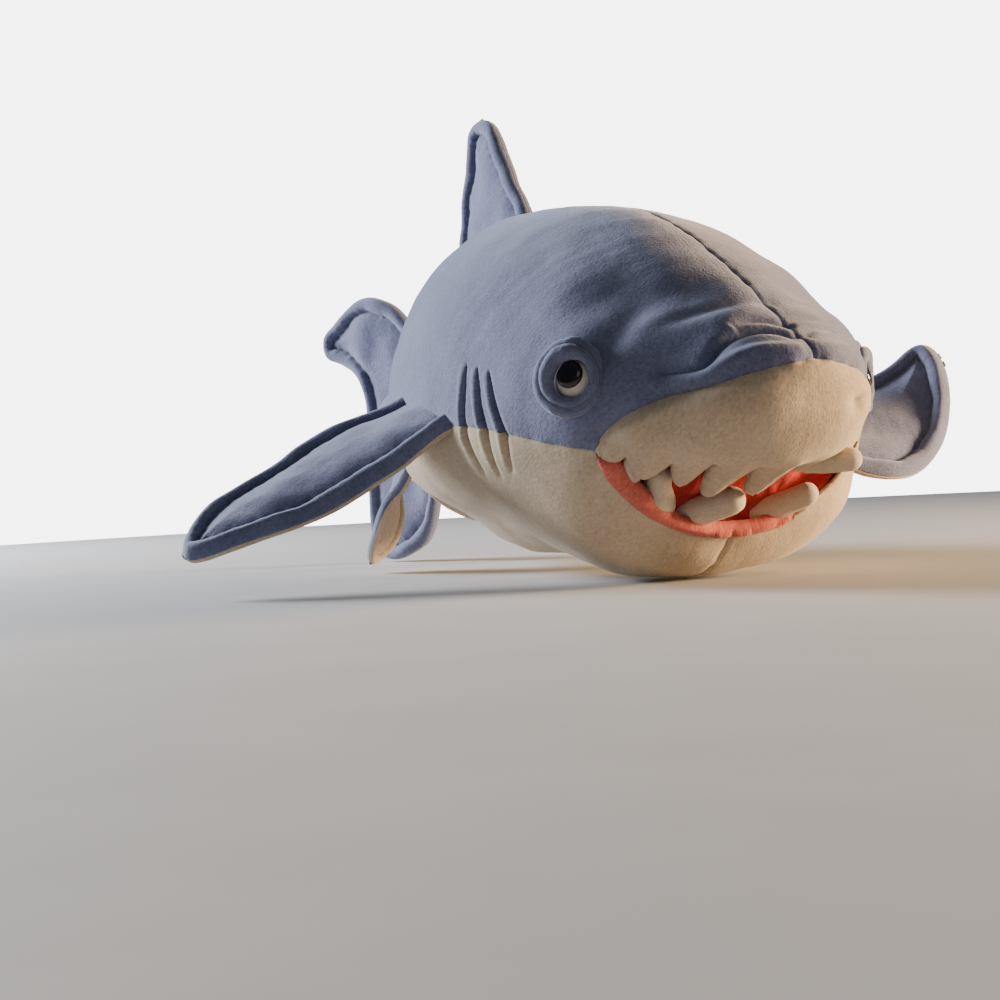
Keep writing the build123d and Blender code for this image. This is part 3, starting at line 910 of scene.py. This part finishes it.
def loop_tube(centre, right, up, out, shape, seed):
    """A soft roll sewn in a loop. Its radius, thickness and height come from shape(turn)."""
    spoke, turn = spokes(LOOP_STEPS, right, up)
    r, w, h = shape(turn)
    path = centre + spoke * r[:, None] + out * h[:, None]
    round_tube = np.linspace(0, 2 * math.pi, LOOP_SIDES, endpoint=False)
    way = np.cos(round_tube)[None, :, None] * spoke[:, None] + np.sin(round_tube)[None, :, None] * out
    place = path[:, None] + way * w[:, None, None]
    place = place + way * (waves(place, 16, seed) * 0.5)[..., None]
    nap = np.stack([round_tube[None] * 6 + 0 * r[:, None], (turn * 24)[:, None] + 0 * round_tube[None],
                    place[..., 2] * 0.2], -1)
    joined = np.concatenate([place, place[:1]]).reshape(-1, 3)
    nap = np.concatenate([nap, nap[:1]]).reshape(-1, 3) * MM
    return joined, grid_faces(LOOP_STEPS + 1, LOOP_SIDES, closed=True), nap


def dome(centre, right, up, out, profile):
    """A surface of revolution about the eye's axis from (radius, height) pairs."""
    profile = np.asarray(profile, float)
    spoke = spokes(DOME_SIDES, right, up)[0]
    place = centre + spoke * profile[:, 0, None, None] + out * profile[:, 1, None, None]
    return place.reshape(-1, 3), grid_faces(len(profile), DOME_SIDES, closed=True)


def bulge(turn, middle, spread):
    """1 at one place round a loop, falling to 0."""
    gap = np.abs((turn - middle + math.pi) % (2 * math.pi) - math.pi)
    return np.exp(-(gap / spread) ** 2)


def make_eye(side):
    name = "left" if side > 0 else "right"
    centre, right, up, out = eye_place(side)
    # angles round the eye, seen from outside; the rolls are thickest on the tail side
    rear = 0.0 if side > 0 else math.pi
    front, top = math.pi - rear, math.pi / 2
    brow = top - 0.3 * side

    def ring_shape(t):
        near = bulge(t, front, 1.0)
        radius = RING_RADIUS + 3.2 * bulge(t, rear, 1.1) + 2.4 * bulge(t, top, 0.9) - 3.4 * near
        thick = RING_TUBE + 1.2 * bulge(t, rear, 1.2) + 0.8 * bulge(t, top, 0.8) - 1.2 * near
        return radius, thick, 3.4 - 2.0 * near

    def lid_shape(t):
        radius = LID_RADIUS + 1.8 * bulge(t, rear, 1.1) + 0.9 * bulge(t, top, 0.9)
        thick = LID_TUBE + 1.9 * bulge(t, rear, 1.2) + 2.2 * bulge(t, brow, 1.0)
        return radius, thick, 6.4 + 3.4 * bulge(t, top, 1.2) + 0.8 * bulge(t, rear, 1.0)

    for part, shape, seed in (("eye_ring", ring_shape, 41), ("eye_lid", lid_shape, 42)):
        place, faces, nap = loop_tube(centre, right, up, out, shape, seed)
        piece = mesh_piece(f"{part}_{name}", place, faces, BLUE, nap, thickness=0)
        describe(piece, [f"{part}_{name}"])

    middle = centre - out * BALL_SUNK
    angle = np.linspace(0.02, 1.75, 40)
    profile = BALL_RADIUS * np.stack([np.sin(angle), np.cos(angle)], -1)
    place, faces = dome(middle, right, up, out, profile)
    piece = mesh_piece(f"eye_ball_{name}", place, faces, EYE_WHITE, place * MM, thickness=0)
    describe(piece, [f"eye_ball_{name}"])

    look = unit(out + LOOK_UP * up + side * LOOK_IN * right)
    across = unit(np.cross(up, look))
    base = math.sqrt(BALL_RADIUS ** 2 - IRIS_RADIUS ** 2)
    angle = np.linspace(0, math.pi / 2, 26)[1:]
    curve = [(IRIS_RADIUS * math.sin(a), IRIS_RIM + IRIS_DOME * math.cos(a)) for a in angle]
    profile = [(0.01, IRIS_RIM + IRIS_DOME), *curve, (IRIS_RADIUS, 0.5), (IRIS_RADIUS - 0.6, -1.5)]
    place, faces = dome(middle + look * base, across, np.cross(look, across), look, profile)
    ring = np.repeat([radius / IRIS_RADIUS for radius, _ in profile], DOME_SIDES)
    piece = mesh_piece(f"eye_iris_{name}", place, faces, IRIS, place * MM, thickness=0, ring=ring)
    describe(piece, [f"eye_iris_{name}"])

    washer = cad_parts[f"eye_lock_washer_{name}"]
    washer.data.materials.clear()
    washer.data.materials.append(WASHER)


for eye_side in (1, -1):
    make_eye(eye_side)


# ---- Fins ---------------------------------------------------------------------------------

# each station is front edge, rear edge, from the sewn root to the tip, as in the frame
DORSAL = [((0, 122, 317), (0, 292, 247)), ((0, 143, 352), (0, 288, 312)), ((0, 170, 390), (0, 272, 372)),
          ((0, 190, 420), (0, 254, 408)), ((0, 203, 436), (0, 250, 431))]
PECTORAL_RIGHT = [((-164, -39, 124), (-163, 75, 149)), ((-196, -20, 98), (-215, 92, 130)),
                  ((-246, 2, 70), (-262, 102, 103)), ((-302, 22, 47), (-318, 100, 72)),
                  ((-340, 37, 34), (-344, 84, 53))]
PECTORAL_LEFT = [((164, -39, 124), (163, 75, 149)), ((204, -49, 92), (216, 72, 145)),
                 ((258, -58, 70), (280, 54, 152)), ((312, -44, 84), (328, 38, 172)),
                 ((350, -28, 136), (357, 26, 202))]
PELVIC_LEFT = [((113, 184, 89), (91, 262, 95)), ((130, 200, 62), (92, 258, 64)),
               ((134, 226, 34), (100, 264, 33)), ((133, 244, 19), (114, 266, 18))]
ROOT_IN = 26  # how far a fin reaches into the body from its first station


def fin_outline(stations, tip_from, tip_out):
    """Front and rear edges by how far along the fin they are; the tip closes in a round end."""
    stations = np.asarray(stations, float)
    middle = stations.mean(1)
    root = stations[0] + unit(middle[0] - middle[1]) * ROOT_IN
    tip = stations[-1] + unit(middle[-1] - middle[-2]) * tip_out
    stations = np.concatenate([[root], stations[:-1], [tip]])
    middle = stations.mean(1)
    run = run_along(middle)
    run = run / run[-1]
    centre, half = Spline(run, middle), Spline(run, (stations[:, 1] - stations[:, 0]) / 2)

    def edges(u):
        closing = np.clip(1 - (np.clip(u - tip_from, 0, None) / (1 - tip_from)) ** 2.4, 0, 1) ** (1 / 2.2)
        return centre(u) - half(u) * closing[..., None], centre(u) + half(u) * closing[..., None]

    return edges


FIN_COLUMNS = 72
FIN_SKIN = 1.6  # thickness of a fin's fabric
EDGE_GAP = 1.6  # half thickness of a fin at its stitched channel
PUFF_REACH = 13  # the stuffing reaches its full height over about this distance


def stuffed_fin(front, rear, roll, puff, seed, side_way, seam_drop=0.0):
    """Both faces of a stuffed fin between two edge curves, with a rolled margin outside a stitched channel.

    front and rear are rows of points along the fin; side_way is roughly where its first face looks."""
    v = 0.5 - 0.5 * np.cos(np.linspace(0, math.pi, FIN_COLUMNS))
    middle = front[:, None] + (rear - front)[:, None] * v[None, :, None]
    normal = np.cross(np.gradient(middle, axis=0), np.gradient(middle, axis=1))
    size = np.linalg.norm(normal, axis=2, keepdims=True)
    general = unit(normal.sum((0, 1)))
    normal = np.where(size > 1e-6, normal / np.maximum(size, 1e-6), general)
    if general @ side_way < 0:
        normal, general = -normal, -general
    edge = resample_straight(np.concatenate([front, rear[::-1]]))
    distance, along = nearest(middle.reshape(-1, 3), edge, reach=400)
    distance, along = distance.reshape(middle.shape[:2]), along.reshape(middle.shape[:2])
    run = along * len(edge)
    radius = roll * (1 + 0.06 * np.sin(run * 0.07 + seed) + 0.03 * np.sin(run * 0.19))
    seam_gap = distance - 2 * radius
    margin = np.sqrt(np.clip(radius ** 2 - (radius - distance) ** 2, 0, None)) * (seam_gap < 0)
    panel = EDGE_GAP + puff * (1 - np.exp(-np.clip(seam_gap, 0, None) / PUFF_REACH))
    half = np.maximum(margin, panel * (distance > radius))
    stitched = np.exp(-(seam_gap / 5) ** 2)
    half = half + 0.35 * stitched * np.sin(run * 0.62) + 0.25 * stitched * np.sin(run * 0.33 + 1)
    half[:, [0, -1]] = 0
    half[-1] = 0
    warp = waves(middle, 90, seed) * 2.2 + waves(middle, 35, seed + 1) * 0.5
    warp = warp * smooth(0, 30, np.linalg.norm(middle - middle[:1], axis=2))
    middle = middle + normal * (warp - seam_drop * np.exp(-(distance / 3.5) ** 2))[..., None]
    faces = []
    for sign in (1, -1):
        surface = (middle + normal * (sign * half)[..., None]).reshape(-1, 3)
        triangles = grid_faces(*distance.shape)
        a, b, c = (surface[triangles[:, k]] for k in range(3))
        looks_in = np.cross(b - a, c - a).sum(0) @ general * sign < 0
        faces.append((surface, triangles[:, ::-1] if looks_in else triangles))
    # painted shade along the stitched channel inside the fin's rolled margin
    channel_shade = 0.5 * np.exp(-((seam_gap + 0.6) / 1.6) ** 2)
    return faces, channel_shade.reshape(-1)


def fin_covers(name, covers, faces, seam, blend, rest=np.asarray):
    """Two covers sewn together, the first with the padding. rest puts their points in the rest pose."""
    for (ending, material), (surface, triangles) in zip(covers, faces):
        node = f"{name}_{ending}"
        piece = mesh_piece(node, rest(surface), triangles, material, nap_of(surface), FIN_SKIN, seam=seam)
        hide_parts(node, *([f"{name}_padding"] if ending == covers[0][0] else []))
        blend(piece)


FIN_ROWS = 120


def make_fin(name, stations, covers, roll, puff, seed, side_way, seam_drop=0.0, tip_out=9, tip_from=0.8):
    """One fin. Its covers are given by the ends of their names and material."""
    edges = fin_outline(stations, tip_from, tip_out)
    front, rear = edges(1 - (1 - np.linspace(0, 1, FIN_ROWS)) ** 1.7)
    fin_covers(name, covers, *stuffed_fin(front, rear, roll, puff, seed, side_way, seam_drop),
               lambda piece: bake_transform(piece))


TWO_BLUE = [("left_cover", BLUE), ("right_cover", BLUE)]
TOP_UNDER = [("top_cover", BLUE), ("under_cover", CREAM)]
OUTER_INNER = [("outer_cover", BLUE), ("inner_cover", CREAM)]
make_fin("dorsal_fin", DORSAL, TWO_BLUE, 7.5, 8.0, 51, (1, 0, 0), tip_out=1, tip_from=0.86)
make_fin("pectoral_fin_right", PECTORAL_RIGHT, TOP_UNDER, 8.0, 8.5, 52, (0, 0, 1), seam_drop=3.0)
make_fin("pectoral_fin_left", PECTORAL_LEFT, TOP_UNDER, 8.0, 8.5, 53, (0, 0, 1), seam_drop=3.0)
make_fin("pelvic_fin_left", PELVIC_LEFT, OUTER_INNER, 5.0, 5.5, 54, (1, 0, 0), seam_drop=2.0)
make_fin("pelvic_fin_right", np.array(PELVIC_LEFT) * (-1, 1, 1), OUTER_INNER, 5.0, 5.5, 55, (-1, 0, 0),
         seam_drop=2.0)


# ---- Tail fin -----------------------------------------------------------------------------

# edges of the crescent from the upper tip to the lower tip, as (distance back, height)
TAIL_LEADING = [(562, 244), (560, 256), (540, 272), (514, 286), (486, 294), (456, 289), (430, 276),
                (402, 246), (374, 205), (358, 150), (362, 90), (374, 56), (396, 26), (428, 8), (464, 3),
                (478, 6)]
TAIL_TRAILING = [(562, 244), (556, 232), (544, 227), (527, 220), (510, 211), (498, 200), (491, 186),
                 (488, 168), (488, 150), (489, 128), (490, 106), (491, 80), (492, 56), (491, 34), (486, 16),
                 (478, 6)]


def tail_edge(points):
    """An edge of the tail fin as 170 points, closer together at the tips."""
    points = np.array([(0, back, height) for back, height in points], float)
    run = run_along(points)
    return Spline(run, points)((0.5 - 0.5 * np.cos(np.linspace(0, math.pi, 170))) * run[-1])


fin_covers("tail_fin", TWO_BLUE,
           *stuffed_fin(tail_edge(TAIL_LEADING), tail_edge(TAIL_TRAILING), 8.0, 7.0, 57, (1, 0, 0)),
           blend_tail_end, bend_tail)


# ---- Floor, light and camera --------------------------------------------------------------

CAMERA_PLACE = (-0.6228, -1.2331, 0.0851)
CAMERA_AZIMUTH, CAMERA_ELEVATION, CAMERA_ROLL = -23.10, 0.75, -3.07
CAMERA_LENS, SENSOR_WIDTH = 58.24, 36
FLOOR_RADIUS = 2.4
FLOOR_DARK, FLOOR_PALE = (0.47, 0.47, 0.465), (0.50, 0.50, 0.495)
FILL_COLOUR, FILL_STRENGTH = (0.78, 0.86, 1.0), 0.11
BACKDROP_STRENGTH = 6  # only what the camera sees directly
AIM = (0, -0.05, 0.15)
# soft studio lights: place, target, size, power, colour
LIGHTS = {
    "window": ((-1.7, 2.3, 1.2), AIM, 1.2, 230, (0.90, 0.93, 1.0)),
    "lamp": ((1.75, -0.85, 0.32), (0.05, -0.1, 0.13), 0.6, 150, (1.0, 0.70, 0.40)),
    "front": ((-0.9, -2.2, 1.2), AIM, 1.2, 3, (1.0, 0.95, 0.9)),
}


def make_floor():
    mesh = bpy.data.meshes.new("floor")
    rim = [(FLOOR_RADIUS * math.cos(a), FLOOR_RADIUS * math.sin(a), 0)
           for a in np.linspace(0, 2 * math.pi, 120, endpoint=False)]
    mesh.from_pydata(rim, [], [tuple(range(len(rim)))])
    material, tree, shader = new_material("floor")
    grain = noise(tree, tree.nodes.new("ShaderNodeTexCoord").outputs["Object"], 14, 3)
    tree.links.new(ramp(tree, grain, [(0.3, FLOOR_DARK), (0.7, FLOOR_PALE)]), shader.inputs["Base Color"])
    set_sockets(shader, Roughness=0.8)
    mesh.materials.append(material)
    new_object("floor", mesh)


def area_light(name, place, target, size, power, colour):
    light = bpy.data.lights.new(name, "AREA")
    light.shape = "DISK"
    light.size = size
    light.energy = power
    light.color = colour
    lamp = new_object(name, light)
    lamp.location = place
    lamp.rotation_euler = (Vector(target) - Vector(place)).to_track_quat("-Z", "Y").to_euler()


def make_light():
    world = bpy.data.worlds.new("studio")
    world.use_nodes = True
    nodes, links = world.node_tree.nodes, world.node_tree.links
    fill = nodes["Background"]
    set_sockets(fill, Color=(*FILL_COLOUR, 1), Strength=FILL_STRENGTH)
    backdrop = nodes.new("ShaderNodeBackground")
    set_sockets(backdrop, Color=(1, 1, 1, 1), Strength=BACKDROP_STRENGTH)
    seen = nodes.new("ShaderNodeLightPath")
    chosen = nodes.new("ShaderNodeMixShader")
    links.new(seen.outputs["Is Camera Ray"], chosen.inputs["Fac"])
    links.new(fill.outputs["Background"], chosen.inputs[1])
    links.new(backdrop.outputs["Background"], chosen.inputs[2])
    links.new(chosen.outputs["Shader"], nodes["World Output"].inputs["Surface"])
    bpy.context.scene.world = world
    for name, settings in LIGHTS.items():
        area_light(name, *settings)


def make_camera():
    azimuth, elevation, roll = (math.radians(a) for a in (CAMERA_AZIMUTH, CAMERA_ELEVATION, CAMERA_ROLL))
    level = math.cos(elevation)
    back = Vector((math.sin(azimuth) * level, -math.cos(azimuth) * level, math.sin(elevation)))
    right = Vector((math.cos(azimuth), math.sin(azimuth), 0))
    up = back.cross(right)
    x = right * math.cos(roll) + up * math.sin(roll)
    y = up * math.cos(roll) - right * math.sin(roll)
    camera = new_object("camera", bpy.data.cameras.new("camera"))
    camera.matrix_world = Matrix.Translation(CAMERA_PLACE) @ Matrix((x, y, back)).transposed().to_4x4()
    camera.data.lens = CAMERA_LENS
    camera.data.sensor_width = SENSOR_WIDTH
    bpy.context.scene.camera = camera


make_floor()
make_light()
make_camera()
